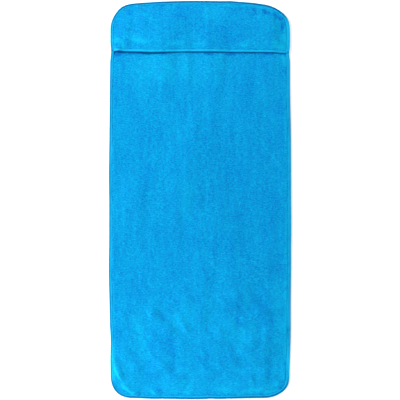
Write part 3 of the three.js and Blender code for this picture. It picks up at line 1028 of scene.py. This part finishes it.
def woven_tape():
    """Twill tape: fine slanting ribs, crossed by its picks, with painted shade where the mesh's
    painted_shade says so.
    """
    made = Shader("woven_tape", 0.7, 0.06, sheen=0.12, sheen_roughness=0.4, sheen_tint=BLUE_SHEEN)
    along, across = made.attribute("along"), made.attribute("across")
    slant = made.math("MULTIPLY_ADD", across, 1.0, along)
    ribs = made.math("SINE", made.math("MULTIPLY", slant, 2 * math.pi / RIB_PITCH))
    picks = made.math("SINE", made.math("MULTIPLY", across, 2 * math.pi / PICK_PITCH))
    weave = made.math("MULTIPLY_ADD", picks, 0.35, ribs)
    mottle = made.noise((90, 90, 90), 3.0, 0.6)
    yarn = made.noise((420, 420, 420), 1.0)
    share = made.varied(made.ramp(weave, -1.35, 1.35, 0.9, 1.06), (mottle, 0.06), (yarn, 0.05))
    # Painted shade along the tapes' folds darkens their colour.
    folded = made.ramp(made.attribute("painted_shade"), 0.0, 1.0, 1.0, 0.15)
    made.shade(DEEP_TAPE, PALE_TAPE, made.ramp(made.math("MULTIPLY", share, folded), 0.15, 1.15, 0.0, 1.0))
    made.emboss(made.math("MULTIPLY_ADD", yarn, 1.2, weave), 0.00016, 0.7)
    return made.material


def spun_thread():
    made = Shader("spun_thread", 0.6, 0.1, sheen=0.1, sheen_tint=BLUE_SHEEN)
    twist = made.noise((2600, 2600, 2600), 1.0)
    dye = made.noise((60, 60, 60), 1.0)
    share = made.varied(made.ramp(twist, 0.3, 0.7, 0.82, 1.12), (dye, 0.06))
    made.shade(DEEP_THREAD, PALE_THREAD, made.ramp(share, 0.7, 1.26, 0.0, 1.0))
    made.emboss(twist, 0.00008, 0.6)
    return made.material


def label_satin():
    made = Shader("label_satin", 0.45, 0.4, sheen=0.1)
    floats = made.noise((220, 2400, 900), 2.0, 0.6)
    wear = made.noise((70, 70, 70), 2.0)
    share = made.ramp(floats, 0.3, 0.7, 0.93, 1.03)
    share = made.math("MULTIPLY", share, made.ramp(wear, 0.3, 0.7, 0.95, 1.03))
    made.shade(DEEP_SATIN, PALE_SATIN, made.ramp(share, 0.88, 1.06, 0.0, 1.0))
    made.emboss(floats, 0.00006, 0.6)
    return made.material


def studio_floor():
    """A white table that is lit a little from within, so that shadows on it stay pale."""
    made = Shader("studio_floor", 0.9, 0.05)
    made.shade(DEEP_FLOOR, PALE_FLOOR, made.noise((0.8, 0.8, 0.8), 1.0))
    made.set("Emission Color", (1, 1, 1, 1))
    made.set("Emission Strength", FLOOR_GLOW)
    return made.material


# ---- Camera, light and floor ----
TOWEL_SHARE = 0.9955  # how much of the picture's height the towel fills


def camera():
    """Straight above the towel."""
    data = bpy.data.cameras.new("camera")
    data.sensor_width, data.lens, data.clip_end = 36, 60, 100
    made = linked("camera", data)
    picture = LENGTH / TOWEL_SHARE
    made.location = (0, -0.3 * MM, picture * MM * data.lens / data.sensor_width)
    bpy.context.scene.camera = made


LAMP_COLOUR = (1, 1, 0.82)


def softbox(name, place, target, size, power):
    data = bpy.data.lights.new(name, "AREA")
    data.shape = "RECTANGLE"
    data.size, data.size_y = size
    data.energy = power
    data.color = LAMP_COLOUR
    made = linked(name, data)
    made.location = place
    aim = np.array(target) - np.array(place)
    tilt, heading = math.atan2(math.hypot(aim[0], aim[1]), -aim[2]), math.atan2(aim[1], aim[0])
    made.rotation_euler = (tilt, 0, heading - math.pi / 2)


def studio():
    world = bpy.data.worlds.new("studio")
    world.use_nodes = True
    background = world.node_tree.nodes["Background"].inputs
    background["Color"].default_value = (0.75, 0.88, 1, 1)
    background["Strength"].default_value = 0.38
    bpy.context.scene.world = world
    softbox("left_head", (-3.5, 1.8, 2.1), (0, 0.1, 0), (0.8, 0.8), 330)
    softbox("left_foot", (-1.3, -1.2, 0.8), (0, -0.5, 0), (0.5, 0.5), 19)
    softbox("right_fill", (2.2, 0.2, 0.4), (0, 0, 0), (0.8, 0.4), 22)
    softbox("head_end", (-0.1, 0.8, 0.6), (0, 0.55, 0), (0.3, 0.2), 1.0)
    softbox("foot_end", (-0.1, -0.9, 0.6), (0, -0.65, 0), (0.3, 0.2), 1.7)
    bpy.context.scene.view_settings.view_transform = "Standard"
    bpy.ops.mesh.primitive_grid_add(x_subdivisions=4, y_subdivisions=4, size=16, location=(0, 0, -0.2 * MM))
    floor = bpy.context.object
    floor.name = "floor"
    floor.data.materials.append(studio_floor())


# ---- The towel ----
camera()
studio()
terry_face = terry("terry", 0)
terry_pocket = terry("terry_pocket", 7)
tape, thread = woven_tape(), spun_thread()
towel = towel_cloth(terry_face)
pocket = pocket_cloth(terry_pocket)
edge = edge_binding(tape)
mouth = mouth_binding(tape)
edge_face = edge_stitches("edge_stitches_face", 1, 61, thread)
edge_back = edge_stitches("edge_stitches_back", -1, 62, thread)
mouth_face = mouth_stitches("mouth_stitches_face", 1, 63, thread)
mouth_inner = mouth_stitches("mouth_stitches_inner", -1, 64, thread)
tack_left = bartack("bartack_stitches_left", -1, thread)
tack_right = bartack("bartack_stitches_right", 1, thread)
label = care_label(label_satin())

stands_for = {
    "terry": [(towel, "main_panel"), (pocket, "pocket_panel")],
    "binding_tape": [(edge, "edge_tape"), (mouth, "mouth_tape")],
    "sewing_thread": [
        (edge_face, "edge_seam_face_thread"),
        (edge_back, "edge_seam_back_thread"),
        (mouth_face, "mouth_seam_face_thread"),
        (mouth_inner, "mouth_seam_inner_thread"),
        (tack_left, "bartack_left"),
        (tack_right, "bartack_right"),
    ],
    "label_satin": [(label, "care_label")],
}
for slot, pieces in stands_for.items():
    for made, node in pieces:
        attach(made, "root")
        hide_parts(node)


cut_x, cut_y = rim.offset(rim.distance, np.full(len(rim.distance), CUT_EDGE)).T
